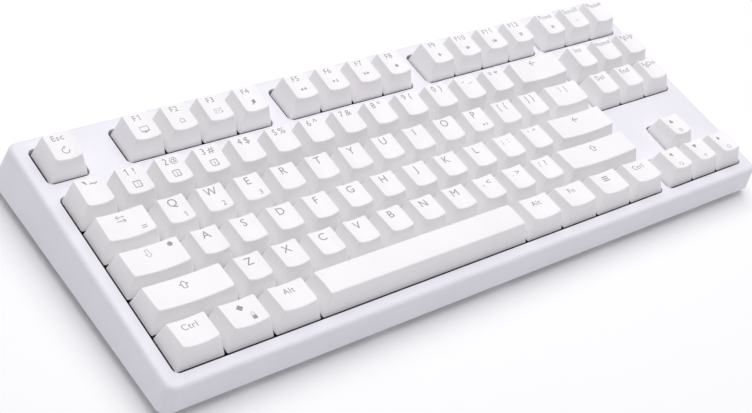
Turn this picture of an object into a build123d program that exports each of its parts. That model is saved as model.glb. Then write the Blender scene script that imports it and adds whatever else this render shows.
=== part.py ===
from build123d import *
import os
from math import asin, cos, degrees, hypot, radians, sin, sqrt, tan

# A tenkeyless mechanical keyboard, in millimetres. +Z is up, +X is to the typist's right and the
# front edge faces -Y. The origin is on the table, under the middle of the case.
# Most of it is drawn in the deck frame: x and y run from the front left corner of the key field,
# z = 0 is the flat top face of the case, and DECK tilts that frame up towards the back.

# Key field
PITCH = 19.05                   # one key unit, "u"
FIELD_W = 18.25 * PITCH
FIELD_D = 6.5 * PITCH
FUNCTION_Y = 5.45               # front edge of the function row's cells, in key units
TILT = 3.7                      # typing angle of the deck, degrees

# Top case
MARGIN = 6.9                    # bezel beyond the key field
CASE_R = 5.0                    # plan corner radius
DRAFT = 7.5                     # outward flare of the side walls, degrees
EDGE_R = 2.3                    # soft edge round the top face
WALL = 2.2
BEZEL_T = 2.5
FRONT_H = 18.4                  # top face above the table at its front edge
SKIRT_Z = 5.2                   # lower rim of the top case above the table
OPENING_GAP = 0.5               # openings beyond their key cells
OPENING_R = 3.0
OPENING_EDGE = 0.4              # soft top edge round each opening
RIB_T = 1.2                     # rib that hangs round each opening
RIB_Z = -5.6

# Keycaps
CAP_GAP = 0.95
CAP_Z = -1.2                    # lower rim of a resting cap, from the top face of the case
CAP_WALL = 1.4
CAP_ROOF = 1.5
CAP_CORNER = 1.2
SIDE_INSET = 2.9                # sides of the top face, from the cap's rim
DISH = 1.1
TRAVEL = 4.0
# row: front height, back height, front inset, back inset of the top face, from the cap's rim
PROFILES = {
    "function": (11.2, 12.0, 2.9, 0.9),
    "number": (11.9, 12.6, 3.4, 0.9),
    "tab": (10.2, 10.7, 3.6, 1.4),
    "home": (10.4, 9.9, 3.0, 1.8),
    "shift": (10.7, 9.7, 3.5, 1.4),
    "bottom": (10.9, 9.8, 3.4, 1.5),
}

# Switches
PLATE_Z, PLATE_T = -7.0, 1.5    # top face and thickness of the steel plate
BOARD_Z, BOARD_T = -12.0, 1.6   # top face and thickness of the circuit board
BOARD_EDGE = 1.0                # plate and board beyond the key field
CUTOUT = 14.0
HOUSING = 13.9
HOUSING_LIP = 15.6
SPLIT_Z = -6.0                  # where the two housings meet
HOUSING_TOP = -0.4
ROOF_Z = -1.6                   # underside of the top housing's roof
FLOOR_Z = -11.0                 # inner floor of the bottom housing
CROSS_TOP = 3.2
CROSS_ARM, CROSS_X, CROSS_Y = 4.0, 1.17, 1.29
SLIDER_BOTTOM = -6.5
RECESS_TOP = -3.0               # roof of the spring recess in the slider
PIN_BOTTOM = -9.5
CONTACTS = [(-3.81, 2.54), (2.54, 5.08)]

# Stabilizers
STAB_SPAN = {"space": 50.0}     # slider distance from the key's centre
STAB_SPAN_SHORT = 11.938
WIRE_R = 0.8
BAR_Y, BAR_Z = -9.0, -9.5       # the wire's long bar, from the key's centre
ARM = 9.0
HOOK_Z = -6.4                   # hook height in a resting slider
ARM_X = 4.4                     # arm beyond the slider's centre
HOOK_IN = 1.6

# Bottom case
TRAY_Z = 1.6                    # underside
TRAY_T = 1.8
TRAY_INSET = 4.2                # from the rim of the top case
TRAY_WALL = 2.0
TRAY_TOP = 6.6
PAD_T, PAD_SINK = 2.2, 0.6

# Screws
SCREW_R, SCREW_L = 1.0, 9.5
HEAD_R, HEAD_T = 2.3, 1.6
BOSS_R, SPACER_R, COLUMN_R = 2.3, 3.0, 3.5
SHOULDER_DROP = 3.6             # from the board's underside down to the screw head's seat
# in key units on the deck, each between key blocks
SCREWS = [(1.5, 5.21), (6.25, 5.21), (10.75, 5.21), (17.5, 5.21), (15.75, 1.5), (17.75, 1.5)]

# Clips along the front edge, which has no room for screws
CLIPS_X = [-140, -70, 0, 70, 140]
CLIP_W, CLIP_T, CLIP_REACH = 12.0, 1.0, 1.5

# Flip feet
FOOT_X = 118.0
FOOT_W, FOOT_L, FOOT_T = 24.0, 17.0, 3.6
FOOT_PIN_R, FOOT_PIN_L = 1.5, 1.4
FOOT_AXIS_Z = TRAY_Z + 2.6
POCKET_DEPTH, POCKET_ROOF = 4.8, 1.5
FINGER_GAP = 7.0
RUNNING = 0.05                  # radial clearance of pins and bars in their bearings

# USB inlet in the back wall
PORT_X = 115.0                  # in the deck frame
TUNNEL_W, TUNNEL_H, TUNNEL_WALL = 12.6, 7.0, 1.4
SOCKET_W, SOCKET_H, SOCKET_L = 9.0, 3.3, 7.4

SINK, COSK, FLARE = sin(radians(TILT)), cos(radians(TILT)), tan(radians(DRAFT))
DECK_Z = FRONT_H + MARGIN * SINK


def rim_point(edge_y, outward):
    """Depth and untilted y, relative to the deck's origin, where a wall meets the skirt's rim."""
    depth = (DECK_Z + edge_y * SINK - SKIRT_Z) / (COSK - outward * FLARE * SINK)
    return depth, (edge_y + outward * depth * FLARE) * COSK + depth * SINK


FRONT_DEPTH, FRONT_RIM = rim_point(-MARGIN, -1)
BACK_DEPTH, BACK_RIM = rim_point(FIELD_D + MARGIN, 1)
DECK_X, DECK_Y = -FIELD_W / 2, -(FRONT_RIM + BACK_RIM) / 2
DECK = Location((DECK_X, DECK_Y, DECK_Z), (TILT, 0, 0))
CASE_D = BACK_RIM - FRONT_RIM
TRAY_W = FIELD_W + 2 * (MARGIN + FLARE * FRONT_DEPTH - TRAY_INSET)
TRAY_D = CASE_D - 2 * TRAY_INSET
FOOT_Y = CASE_D / 2 - 15.0      # hinge axis of the flip feet
PAD_X, PAD_FRONT_Y, PAD_BACK_Y = TRAY_W / 2 - 20, -TRAY_D / 2 + 13, TRAY_D / 2 - 14
# rubber pads: x, y, width, depth
PADS = [(-PAD_X, PAD_FRONT_Y, 26, 9), (PAD_X, PAD_FRONT_Y, 26, 9), (-PAD_X, PAD_BACK_Y, 18, 9),
        (PAD_X, PAD_BACK_Y, 18, 9)]


def in_row(x, y, z):
    """A deck point in the row frame."""
    return Vector(DECK_X + x, DECK_Y + y * COSK - z * SINK, DECK_Z + y * SINK + z * COSK)


# ---------------------------------------------------------------- the key layout


def line_of(names, x, y, profile, widths=None):
    """Keys side by side from x, in key units: name -> (centre x, centre y, width, profile)."""
    keys = {}
    for name in names:
        width = (widths or {}).get(name, 1)
        keys[name] = ((x + width / 2) * PITCH, (y + 0.5) * PITCH, width, profile)
        x += width
    return keys


def keyboard_layout():
    keys = line_of(["esc"], 0, FUNCTION_Y, "function")
    for first, x in ((1, 2), (5, 6.5), (9, 11)):
        keys |= line_of([f"f{n}" for n in range(first, first + 4)], x, FUNCTION_Y, "function")
    keys |= line_of(["print", "scroll", "pause"], 15.25, FUNCTION_Y, "function")
    keys |= line_of(["grave", *"1234567890", "minus", "equals", "backspace"], 0, 4, "number",
                    {"backspace": 2})
    keys |= line_of(["insert", "home", "page_up"], 15.25, 4, "number")
    keys |= line_of(["tab", *"qwertyuiop", "left_bracket", "right_bracket", "backslash"], 0, 3,
                    "tab", {"tab": 1.5, "backslash": 1.5})
    keys |= line_of(["delete", "end", "page_down"], 15.25, 3, "tab")
    keys |= line_of(["caps_lock", *"asdfghjkl", "semicolon", "quote", "enter"], 0, 2, "home",
                    {"caps_lock": 1.75, "enter": 2.25})
    keys |= line_of(["left_shift", *"zxcvbnm", "comma", "period", "slash", "right_shift"], 0, 1,
                    "shift", {"left_shift": 2.25, "right_shift": 2.75})
    keys |= line_of(["up"], 16.25, 1, "shift")
    front = ["left_ctrl", "left_win", "left_alt", "space", "right_alt", "fn", "menu", "right_ctrl"]
    keys |= line_of(front, 0, 0, "bottom", {name: 1.25 for name in front} | {"space": 6.25})
    keys |= line_of(["left", "down", "right"], 15.25, 0, "bottom")
    return keys


KEYS = keyboard_layout()
STABILIZED = ["space", "enter", "backspace", "left_shift", "right_shift"]
# Keys that share a node, because a node for every key would be too many.
SHARED = {
    "function_keys": [f"f{n}" for n in range(1, 13)],
    "number_keys": ["grave", *"1234567890", "minus", "equals"],
    "tab_caps_keys": ["tab", "caps_lock"],
    "punctuation_keys": ["left_bracket", "right_bracket", "backslash", "semicolon", "quote",
                         "comma", "period", "slash"],
    "bottom_row_keys": ["left_ctrl", "left_win", "left_alt", "right_alt", "fn", "menu",
                        "right_ctrl"],
    "navigation_keys": ["print", "scroll", "pause", "insert", "home", "page_up", "delete", "end",
                        "page_down"],
    "arrow_keys": ["up", "left", "down", "right"],
}


def key_nodes():
    """Node name -> the keys in it."""
    shared = {name for names in SHARED.values() for name in names}
    single = {f"key_{name}": [name] for name in KEYS if name not in shared}
    return single | SHARED


def stab_span(name):
    return STAB_SPAN.get(name, STAB_SPAN_SHORT)


# ---------------------------------------------------------------- small helpers


def block(x0, x1, y0, y1, z0, z1):
    """A box from its corners."""
    return Pos((x0 + x1) / 2, (y0 + y1) / 2, (z0 + z1) / 2) * Box(x1 - x0, y1 - y0, z1 - z0)


def post(x, y, radius, z0, z1):
    """An upright cylinder."""
    return Pos(x, y, (z0 + z1) / 2) * Cylinder(radius, z1 - z0)


def frustum(bottom, top, z0, z1):
    """A solid between two centred rectangles, (width, depth) each."""
    low = Pos(0, 0, z0) * Rectangle(*bottom)
    high = Pos(0, 0, z1) * Rectangle(*top)
    return loft([low.face(), high.face()], ruled=True)


def cells(x0, y0, x1, y1, grow):
    """The rectangle over a range of key units, grown on every side."""
    x0, y0, x1, y1 = (v * PITCH for v in (x0, y0, x1, y1))
    return Pos((x0 + x1) / 2, (y0 + y1) / 2) * Rectangle(x1 - x0 + 2 * grow, y1 - y0 + 2 * grow)


def spread(shape, names):
    """One copy of a shape at each named key."""
    return [Pos(KEYS[name][0], KEYS[name][1], 0) * shape for name in names]


def save(name, shapes, place=DECK):
    """Writes one node, moved from its own frame to the row frame."""
    shapes = [place * solid for shape in shapes for solid in shape.solids()]
    export_step(Compound(shapes) if len(shapes) > 1 else shapes[0], f"parts/{name}.step")


# ---------------------------------------------------------------- keycaps and sliders


def cap_body(width, depth, front, back, front_inset, back_inset, side_slope, crown=0.0):
    """The block of a keycap: sloped on all four sides, with its rim at z = 0."""
    y0, y1 = -depth / 2, depth / 2
    corners = [(y0 + front_inset, front), (y1 - back_inset, back)]
    side = Polyline((corners[0]), (y0, 0), (y1, 0), (corners[1]))
    if crown:
        middle = ((corners[0][0] + corners[1][0]) / 2, (front + back) / 2 + crown)
        roof = ThreePointArc(corners[0], middle, corners[1])
    else:
        roof = Line(*corners)
    profile = Plane.YZ * make_face(side + roof)
    high = max(front, back) + crown + 1
    inset = side_slope * high
    ends = Polyline((-width / 2, 0), (width / 2, 0), (width / 2 - inset, high),
                    (-width / 2 + inset, high), close=True)
    flank = Plane.XZ * make_face(ends)
    return extrude(profile, width, both=True) & extrude(flank, depth, both=True)


def dish_cutter(width, depth, front, back, front_inset, back_inset, side_slope):
    """A cylinder along the cap that leaves its top DISH lower in the middle than at the sides."""
    half = width / 2 - side_slope * front
    radius = (half**2 + DISH**2) / (2 * DISH)
    run, rise = depth - front_inset - back_inset, back - front
    slope = degrees(asin(rise / hypot(run, rise)))
    middle = (front_inset - back_inset) / 2
    lift = (front + back) / 2 + sqrt(radius**2 - half**2) / cos(radians(slope))
    return Pos(0, middle, lift) * Rot(slope, 0, 0) * Rot(90, 0, 0) * Cylinder(radius, 4 * depth)


def stem_cross(arm, bar_x, bar_y, z0, z1):
    """The plus-shaped post of a slider, or the hole for it."""
    along_x = block(-arm / 2, arm / 2, -bar_x / 2, bar_x / 2, z0, z1)
    along_y = block(-bar_y / 2, bar_y / 2, -arm / 2, arm / 2, z0, z1)
    return along_x + along_y


def keycap(name):
    """A hollow cap with a socket for each slider, about its key's centre in the deck frame."""
    _, _, units, row = KEYS[name]
    front, back, front_inset, back_inset = PROFILES[row]
    width, depth = units * PITCH - CAP_GAP, PITCH - CAP_GAP
    side_slope = 2 * SIDE_INSET / (front + back)
    space = name == "space"
    crown = 0.5 if space else 0
    body = cap_body(width, depth, front, back, front_inset, back_inset, side_slope, crown)
    upright = body.edges().filter_by(lambda edge: abs((edge @ 1 - edge @ 0).Z) > front / 2)
    body = fillet(upright, CAP_CORNER)
    if not space:
        body -= dish_cutter(width, depth, front, back, front_inset, back_inset, side_slope)
    drop = CAP_ROOF if space else CAP_ROOF + DISH
    hollow = cap_body(width - 2 * CAP_WALL, depth - 2 * CAP_WALL, front - drop, back - drop,
                      front_inset * (1 - drop / front), back_inset * (1 - drop / back),
                      side_slope)
    cap = body - hollow
    socket_z = HOUSING_TOP - CAP_Z
    spans = [-stab_span(name), 0, stab_span(name)] if name in STABILIZED else [0]
    for x in spans:
        cap += post(x, 0, 2.75, socket_z, front) & body
    for x in spans:
        hole = stem_cross(CROSS_ARM + 0.1, CROSS_X + 0.1, CROSS_Y + 0.1, socket_z, socket_z + 3.8)
        cap -= Pos(x, 0, 0) * hole
    return Pos(0, 0, CAP_Z) * cap


def switch_slider():
    """The moving stem of a switch: cross, platform, captive shoulders, spring recess and pin."""
    base = HOUSING_TOP - 0.1
    slider = stem_cross(CROSS_ARM, CROSS_X, CROSS_Y, base, CROSS_TOP)
    slider += block(-3.6, 3.6, -2.8, 2.8, ROOF_Z - 0.1, base)
    slider += block(-5.1, 5.1, -3.5, 3.5, SLIDER_BOTTOM, ROOF_Z - 0.1)
    slider -= post(0, 0, 2.4, SLIDER_BOTTOM, RECESS_TOP)
    return slider + post(0, 0, 0.9, PIN_BOTTOM, RECESS_TOP)


def stab_slider():
    """The slider of a stabilizer, with a slot that the wire's hook rides in."""
    base = HOUSING_TOP - 0.1
    slider = stem_cross(CROSS_ARM, CROSS_X, CROSS_Y, base, CROSS_TOP)
    slider += block(-2.2, 2.2, -2.5, 2.5, HOOK_Z - WIRE_R - 0.6, base)
    return slider - block(-3, 3, -1.5, 0.95, HOOK_Z - WIRE_R - 0.1, HOOK_Z + WIRE_R + 0.1)


def key_shapes(name, caps):
    """The cap and the sliders of one key, in the deck frame."""
    x, y, units, row = KEYS[name]
    kind = (units, row, name if name in STABILIZED else "")
    if kind not in caps:
        caps[kind] = keycap(name)
    parts = [caps[kind], SLIDER]
    if name in STABILIZED:
        parts += [Pos(side * stab_span(name), 0, 0) * STAB_SLIDER for side in (-1, 1)]
    return [Pos(x, y, 0) * shape for shape in parts]


# ---------------------------------------------------------------- switch housings


def bottom_housing():
    """The lower half of a switch, clipped into the plate, with its locating post."""
    half = HOUSING / 2
    housing = block(-half, half, -half, half, BOARD_Z, SPLIT_Z)
    lip = HOUSING_LIP / 2
    housing += block(-lip, lip, -lip, lip, PLATE_Z, SPLIT_Z)
    housing -= block(-5.75, 5.75, -5.75, 5.75, FLOOR_Z, SPLIT_Z)
    housing += post(0, 0, 1.95, BOARD_Z - 2.9, FLOOR_Z)
    housing -= post(0, 0, 1.1, BOARD_Z - 2.2, FLOOR_Z)
    for x, y in CONTACTS:
        housing -= block(x - 0.6, x + 0.6, y - 0.3, y + 0.3, BOARD_Z, FLOOR_Z)
    return housing


def top_housing():
    """The upper half of a switch, with the window that the slider moves in."""
    shell = frustum((HOUSING, HOUSING), (11.8, 10.6), SPLIT_Z, HOUSING_TOP)
    shell -= frustum((11.5, 11.5), (10.7, 8.6), SPLIT_Z, ROOF_Z)
    return shell - block(-3.75, 3.75, -2.95, 2.95, ROOF_Z, HOUSING_TOP)


def spring():
    """The return spring between the housing's floor and the slider's recess."""
    wire, coil, turns = 0.2, 1.95, 5.5
    low, high = FLOOR_Z + 0.25, RECESS_TOP - 0.25
    helix = Helix(pitch=(high - low) / turns, height=high - low, radius=coil)
    section = Plane(origin=helix @ 0, z_dir=helix % 0) * RegularPolygon(wire, 4)
    return Pos(0, 0, low) * sweep(section, path=helix, is_frenet=True)


def contact_pair():
    """The two contact leaves of a switch, each with its soldered pin."""
    foot, leaf_back = FLOOR_Z + 0.05, 5.5
    leaves = []
    for x, y in CONTACTS:
        outline = [(y - 0.15, BOARD_Z - 2.8), (y + 0.15, BOARD_Z - 2.8), (y + 0.15, foot),
                   (leaf_back, foot), (leaf_back, SPLIT_Z - 0.4), (leaf_back - 0.25, SPLIT_Z - 0.4),
                   (leaf_back - 0.25, foot + 0.3), (y - 0.15, foot + 0.3)]
        leaf = extrude(Plane.YZ * make_face(Polyline(*outline, close=True)), 0.5, both=True)
        leaves.append(Pos(x, 0, 0) * leaf)
    return leaves


# ---------------------------------------------------------------- stabilizers


def stab_housing():
    """Holds a stabilizer's slider above the plate and the wire's bar below it."""
    housing = block(-3.4, 3.4, -6, 6, -11.6, -1.5)
    housing += block(-3.4, 3.4, BAR_Y - 1.7, -6, -11.6, PLATE_Z - PLATE_T - 0.1)
    housing -= block(-2.35, 2.35, -2.65, 2.65, -12, 0)
    # the cap's socket dips into the top when the key is down
    housing -= block(-2.85, 2.85, -2.95, 2.95, HOUSING_TOP - TRAVEL - 0.3, 0)
    # the arm and the hook swing beside and into the outer wall
    housing -= block(-3.5, 3.5, -1.9, 1.2, -11.7, HOOK_Z + 1.3)
    bearing = Pos(0, BAR_Y, BAR_Z) * Rot(0, 90, 0) * Cylinder(WIRE_R + RUNNING, 8)
    return housing - bearing


def stab_wire(span):
    """The bent wire that makes both ends of a wide key fall together, in its resting tilt."""
    rise = HOOK_Z - BAR_Z
    hook_y = BAR_Y + sqrt(ARM**2 - rise**2)
    side = span + ARM_X
    bar = [(-side, BAR_Y, BAR_Z), (side, BAR_Y, BAR_Z)]
    arms = [(-side, hook_y, HOOK_Z), (side, hook_y, HOOK_Z)]
    inner = span - HOOK_IN
    path = [(-inner, hook_y, HOOK_Z), arms[0], *bar, arms[1], (inner, hook_y, HOOK_Z)]
    line = FilletPolyline(*path, radius=1.2)
    section = Plane(origin=line @ 0, z_dir=line % 0) * Circle(WIRE_R)
    return sweep(section, path=line)


# ---------------------------------------------------------------- plate, board and electronics


def board_outline(z):
    """The outline that the plate and the board share, as a wire."""
    width, depth = FIELD_W + 2 * BOARD_EDGE, FIELD_D + 2 * BOARD_EDGE
    return (Pos(FIELD_W / 2, FIELD_D / 2, z) * RectangleRounded(width, depth, 2)).wire()


def sheet(outline, holes, thickness):
    """A flat sheet with holes, all given as wires on its upper face."""
    return extrude(Face(outline, holes), thickness, dir=(0, 0, -1))


def switch_plate():
    holes = []
    for name, (x, y, _, _) in KEYS.items():
        holes.append((Pos(x, y, PLATE_Z) * Rectangle(CUTOUT, CUTOUT)).wire())
        if name in STABILIZED:
            for side in (-1, 1):
                centre = x + side * (stab_span(name) + 1)
                window = Pos(centre, y - 1.8, PLATE_Z) * Rectangle(9, 16.6)
                holes.append(window.wire())
    for x, y in SCREWS:
        holes.append((Pos(x * PITCH, y * PITCH, PLATE_Z) * Circle(BOSS_R + 0.7)).wire())
    return sheet(board_outline(PLATE_Z), holes, PLATE_T)


def circuit_board():
    holes = []
    for x, y, _, _ in KEYS.values():
        holes.append((Pos(x, y, BOARD_Z) * Circle(2.0)).wire())
        for dx, dy in CONTACTS:
            holes.append((Pos(x + dx, y + dy, BOARD_Z) * Circle(0.75)).wire())
    for x, y in SCREWS:
        holes.append((Pos(x * PITCH, y * PITCH, BOARD_Z) * Circle(BOSS_R + 0.7)).wire())
    return sheet(board_outline(BOARD_Z), holes, BOARD_T)


def board_components():
    """The controller chip, its crystal and a diode for each switch, under the board."""
    under = BOARD_Z - BOARD_T
    chip = block(236, 246, 95.5, 105.5, under - 1.4, under)
    crystal = block(250, 253.2, 98, 100.5, under - 0.8, under)
    diode = block(4.4, 7.4, -6.2, -4.6, under - 0.9, under)
    return [chip, crystal, *spread(diode, KEYS)]


def caps_lock_led():
    """The indicator on the board, under the dot in the Caps Lock key."""
    x, y, units, _ = KEYS["caps_lock"]
    x += units * PITCH / 2 - 5.2
    base = block(x - 1.6, x + 1.6, y + 6.9, y + 8.9, BOARD_Z, BOARD_Z + 0.9)
    return base + post(x, y + 7.9, 0.8, BOARD_Z + 0.9, BOARD_Z + 1.5)


def usb_socket():
    """The metal shell of the inlet and the tongue in it, under the board's back edge."""
    top = BOARD_Z - BOARD_T
    back = FIELD_D + BOARD_EDGE
    mouth = (PORT_X, back, top - SOCKET_H / 2)
    place = Plane(origin=mouth, x_dir=(1, 0, 0), z_dir=(0, -1, 0))
    outer = place * RectangleRounded(SOCKET_W, SOCKET_H, 1.4)
    inner = place * RectangleRounded(SOCKET_W - 0.6, SOCKET_H - 0.6, 1.1)
    shell = extrude(outer, SOCKET_L) - extrude(inner, SOCKET_L - 0.4)
    low, high = top - SOCKET_H / 2 - 0.35, top - SOCKET_H / 2 + 0.35
    tongue = block(PORT_X - 3.3, PORT_X + 3.3, back - SOCKET_L + 0.4, back - 1.0, low, high)
    return [shell, tongue]


# ---------------------------------------------------------------- the case


def case_block(shrink, top_z):
    """The flared block of the case in the deck frame, shrunk on every side."""
    width, depth = FIELD_W + 2 * (MARGIN - shrink), FIELD_D + 2 * (MARGIN - shrink)
    height = BACK_DEPTH + 6
    levels = []
    for z in (0, -height):
        grow = -2 * z * FLARE
        face = RectangleRounded(width + grow, depth + grow, CASE_R - shrink)
        levels.append((Pos(FIELD_W / 2, FIELD_D / 2, z) * face).face())
    solid = loft(levels, ruled=True)
    return solid - block(-50, 500, -50, 300, top_z, 1) if top_z < 0 else solid


def openings(grow):
    """The faces of the openings for the key blocks, grown on every side."""
    function_blocks = [(0, 1), (2, 6), (6.5, 10.5), (11, 15), (15.25, 18.25)]
    rectangles = [(x0, FUNCTION_Y, x1, 6.5) for x0, x1 in function_blocks]
    rectangles += [(0, 0, 15, 5), (15.25, 3, 18.25, 5)]
    faces = [cells(*corners, grow) for corners in rectangles]
    faces.append(cells(15.25, 0, 18.25, 1, grow) + cells(16.25, 1, 17.25, 2, grow))
    return [fillet(face.vertices(), OPENING_R) for face in faces]


def rims_an_opening(edge):
    """Whether an edge of the case, in the deck frame, lies in the top face round an opening."""
    middle = edge @ 0.5
    in_top = max(abs((edge @ end).Z) for end in (0, 0.5, 1)) < 0.01
    return in_top and abs(middle.X - FIELD_W / 2) < FIELD_W / 2 + 2 and -2 < middle.Y < FIELD_D + 2


def port_frame():
    """Centre of the inlet's tunnel in the row frame."""
    socket_z = BOARD_Z - BOARD_T - SOCKET_H / 2
    return in_row(PORT_X, FIELD_D + MARGIN, socket_z)


def tunnel(grow, y0, y1):
    """A block along Y round the inlet, in the row frame."""
    centre = port_frame()
    half_w, half_h = TUNNEL_W / 2 + grow, TUNNEL_H / 2 + grow
    return block(centre.X - half_w, centre.X + half_w, y0, y1, centre.Z - half_h, centre.Z + half_h)


def screw_places():
    """Each case screw: x, y and the height of its head's shoulder, in the row frame."""
    seats = [in_row(x * PITCH, y * PITCH, BOARD_Z - BOARD_T) for x, y in SCREWS]
    return [(seat.X, seat.Y, seat.Z - SHOULDER_DROP) for seat in seats]


def deck_slab(z0, z1):
    """A slab of the deck, wider than the case, in the row frame."""
    return DECK * block(-30, FIELD_W + 30, -30, FIELD_D + 30, z0, z1)


def top_case():
    """The bezel and its flared skirt, ribs, screw bosses and inlet tunnel, in the row frame."""
    outer = case_block(0, 0)
    rim = outer.faces().sort_by(Axis.Z)[-1].edges()
    outer = fillet(rim, EDGE_R)
    shell = outer - case_block(WALL, -BEZEL_T)
    ribs = [extrude(face, -RIB_Z, dir=(0, 0, -1)) for face in openings(OPENING_GAP + RIB_T)]
    holes = [extrude(face, 12, both=True) for face in openings(OPENING_GAP)]
    shell += [rib & outer for rib in ribs]
    shell -= holes
    shell = fillet(shell.edges().filter_by(rims_an_opening), OPENING_EDGE)
    case = DECK * shell
    for x, y, shoulder in screw_places():
        case += post(x, y, BOSS_R, 0, 60) & deck_slab(BOARD_Z - BOARD_T, -1)
        case += post(x, y, SPACER_R, 0, 60) & deck_slab(PLATE_Z, -1)
    inner_face = -CASE_D / 2 + WALL
    for x in CLIPS_X:
        case += block(x - CLIP_W / 2, x + CLIP_W / 2, inner_face - 0.5, inner_face + CLIP_REACH,
                      SKIRT_Z, SKIRT_Z + CLIP_T)
    outer_wall = CASE_D / 2 + 5
    inner_end = in_row(0, FIELD_D + BOARD_EDGE, -15).Y + 1.2
    case += tunnel(TUNNEL_WALL, inner_end, CASE_D / 2) & DECK * outer
    case -= tunnel(0, inner_end - 1, outer_wall)
    for x, y, shoulder in screw_places():
        case -= post(x, y, SCREW_R + RUNNING, 0, shoulder + SCREW_L + 0.5)
    return case - block(-400, 400, -200, 200, -20, SKIRT_Z)


def foot_pocket(side):
    """The recess that a stowed flip foot lies in, with a finger gap at its free end."""
    x = side * FOOT_X
    half = FOOT_W / 2 + 0.4
    return block(x - half, x + half, FOOT_Y - FOOT_L - FINGER_GAP, FOOT_Y + 3.0, TRAY_Z,
                 TRAY_Z + POCKET_DEPTH)


def bottom_case():
    """The tray, with screw columns, board supports and the recesses under it."""
    outline = RectangleRounded(TRAY_W, TRAY_D, 6)
    inside = RectangleRounded(TRAY_W - 2 * TRAY_WALL, TRAY_D - 2 * TRAY_WALL, 4)
    tray = Pos(0, 0, TRAY_Z) * extrude(outline, TRAY_TOP - TRAY_Z)
    lower = tray.faces().sort_by(Axis.Z)[0].edges()
    tray = fillet(lower, 1.0)
    tray -= Pos(0, 0, TRAY_Z + TRAY_T) * extrude(inside, 20)
    above_board = deck_slab(BOARD_Z - BOARD_T, 60)
    for x, y, shoulder in screw_places():
        tray += post(x, y, COLUMN_R, TRAY_Z, 30) - above_board
    for units in (1.25, 5, 9, 13):
        foot = in_row(units * PITCH, PITCH, BOARD_Z)
        tray += post(foot.X, foot.Y, 2, TRAY_Z, 30) - above_board
    for x in CLIPS_X:
        tray += block(x - CLIP_W / 2 + 1, x + CLIP_W / 2 - 1, -TRAY_D / 2 - CLIP_REACH,
                      -TRAY_D / 2 + TRAY_WALL, TRAY_Z + TRAY_T, SKIRT_Z + 2 * CLIP_T + 0.1)
        tray -= block(x - CLIP_W / 2, x + CLIP_W / 2, -TRAY_D / 2 - 2 * CLIP_REACH, -TRAY_D / 2,
                      TRAY_Z, SKIRT_Z + CLIP_T + 0.1)
    for side in (-1, 1):
        x = side * FOOT_X
        half = FOOT_W / 2 + 2.2
        tray += block(x - half, x + half, FOOT_Y - FOOT_L - FINGER_GAP - 1.5, FOOT_Y + 4.5, TRAY_Z,
                      TRAY_Z + POCKET_DEPTH + POCKET_ROOF)
        tray -= foot_pocket(side)
        bearing = Pos(x, FOOT_Y, FOOT_AXIS_Z) * Rot(0, 90, 0)
        tray -= bearing * Cylinder(FOOT_PIN_R + RUNNING, FOOT_W + 2 * FOOT_PIN_L + 0.2)
    for x, y, shoulder in screw_places():
        tray -= post(x, y, HEAD_R + 0.3, TRAY_Z - 1, shoulder)
        tray -= post(x, y, SCREW_R + 0.25, TRAY_Z, 30)
    for x, y, width, depth in PADS:
        tray -= block(x - width / 2 - 0.1, x + width / 2 + 0.1, y - depth / 2 - 0.1,
                      y + depth / 2 + 0.1, TRAY_Z - 1, TRAY_Z + PAD_SINK)
    return tray


def rubber_feet():
    """The pads under the tray, stadium shaped, standing on the table."""
    pads = []
    for x, y, width, depth in PADS:
        pad = extrude(RectangleRounded(width, depth, 2), PAD_T)
        pad = fillet(pad.faces().sort_by(Axis.Z)[0].edges(), 0.5)
        pads.append(Pos(x, y, 0) * pad)
    return pads


def case_screws():
    """Pan head screws up through the tray into the bosses of the top case."""
    screws = []
    for x, y, shoulder in screw_places():
        head = post(x, y, HEAD_R, shoulder - HEAD_T, shoulder)
        head = fillet(head.faces().sort_by(Axis.Z)[0].edges(), 0.5)
        head -= stem_cross(2.4, 0.6, 0.6, shoulder - HEAD_T, shoulder - HEAD_T + 0.9).moved(
            Location((x, y, 0)))
        screws.append(head + post(x, y, SCREW_R, shoulder, shoulder + SCREW_L))
    return screws


def flip_foot(side):
    """A leg that folds down from its pocket, with its hinge pins."""
    x = side * FOOT_X
    half = FOOT_W / 2
    low = FOOT_AXIS_Z - 2.0
    leg = block(x - half, x + half, FOOT_Y - FOOT_L, FOOT_Y, low, low + FOOT_T)
    tip = leg.edges().filter_by(Axis.X).group_by(Axis.Y)[0]
    leg = fillet(tip, 1.2)
    barrel = Pos(x, FOOT_Y, FOOT_AXIS_Z) * Rot(0, 90, 0)
    leg += barrel * Cylinder(2.0, FOOT_W)
    leg += barrel * Cylinder(FOOT_PIN_R, FOOT_W + 2 * FOOT_PIN_L)
    return leg


SLIDER = switch_slider()
STAB_SLIDER = stab_slider()


def main():
    os.makedirs("parts", exist_ok=True)
    caps = {}
    for node, names in key_nodes().items():
        save(node, [shape for name in names for shape in key_shapes(name, caps)])
    save("switch_bottom_housings", spread(bottom_housing(), KEYS))
    save("switch_top_housings", spread(top_housing(), KEYS))
    save("switch_springs", spread(spring(), KEYS))
    save("switch_contacts", [leaf for pair in contact_pair() for leaf in spread(pair, KEYS)])
    holders = [Pos(side * stab_span(name), 0, 0) * copy for name in STABILIZED for side in (-1, 1)
               for copy in spread(stab_housing(), [name])]
    save("stabilizer_housings", holders)
    for name in STABILIZED:
        save(f"stabilizer_wire_{name}", spread(stab_wire(stab_span(name)), [name]))
    save("switch_plate", [switch_plate()])
    save("circuit_board", [circuit_board()])
    save("board_components", board_components())
    save("caps_lock_led", [caps_lock_led()])
    save("usb_socket", usb_socket())
    on_table = Location((0, 0, 0))
    save("top_case", [top_case()], on_table)
    save("bottom_case", [bottom_case()], on_table)
    save("rubber_feet", rubber_feet(), on_table)
    save("case_screws", case_screws(), on_table)
    save("left_flip_foot", [flip_foot(-1)], on_table)
    save("right_flip_foot", [flip_foot(1)], on_table)


if __name__ == "__main__":
    main()
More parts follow.
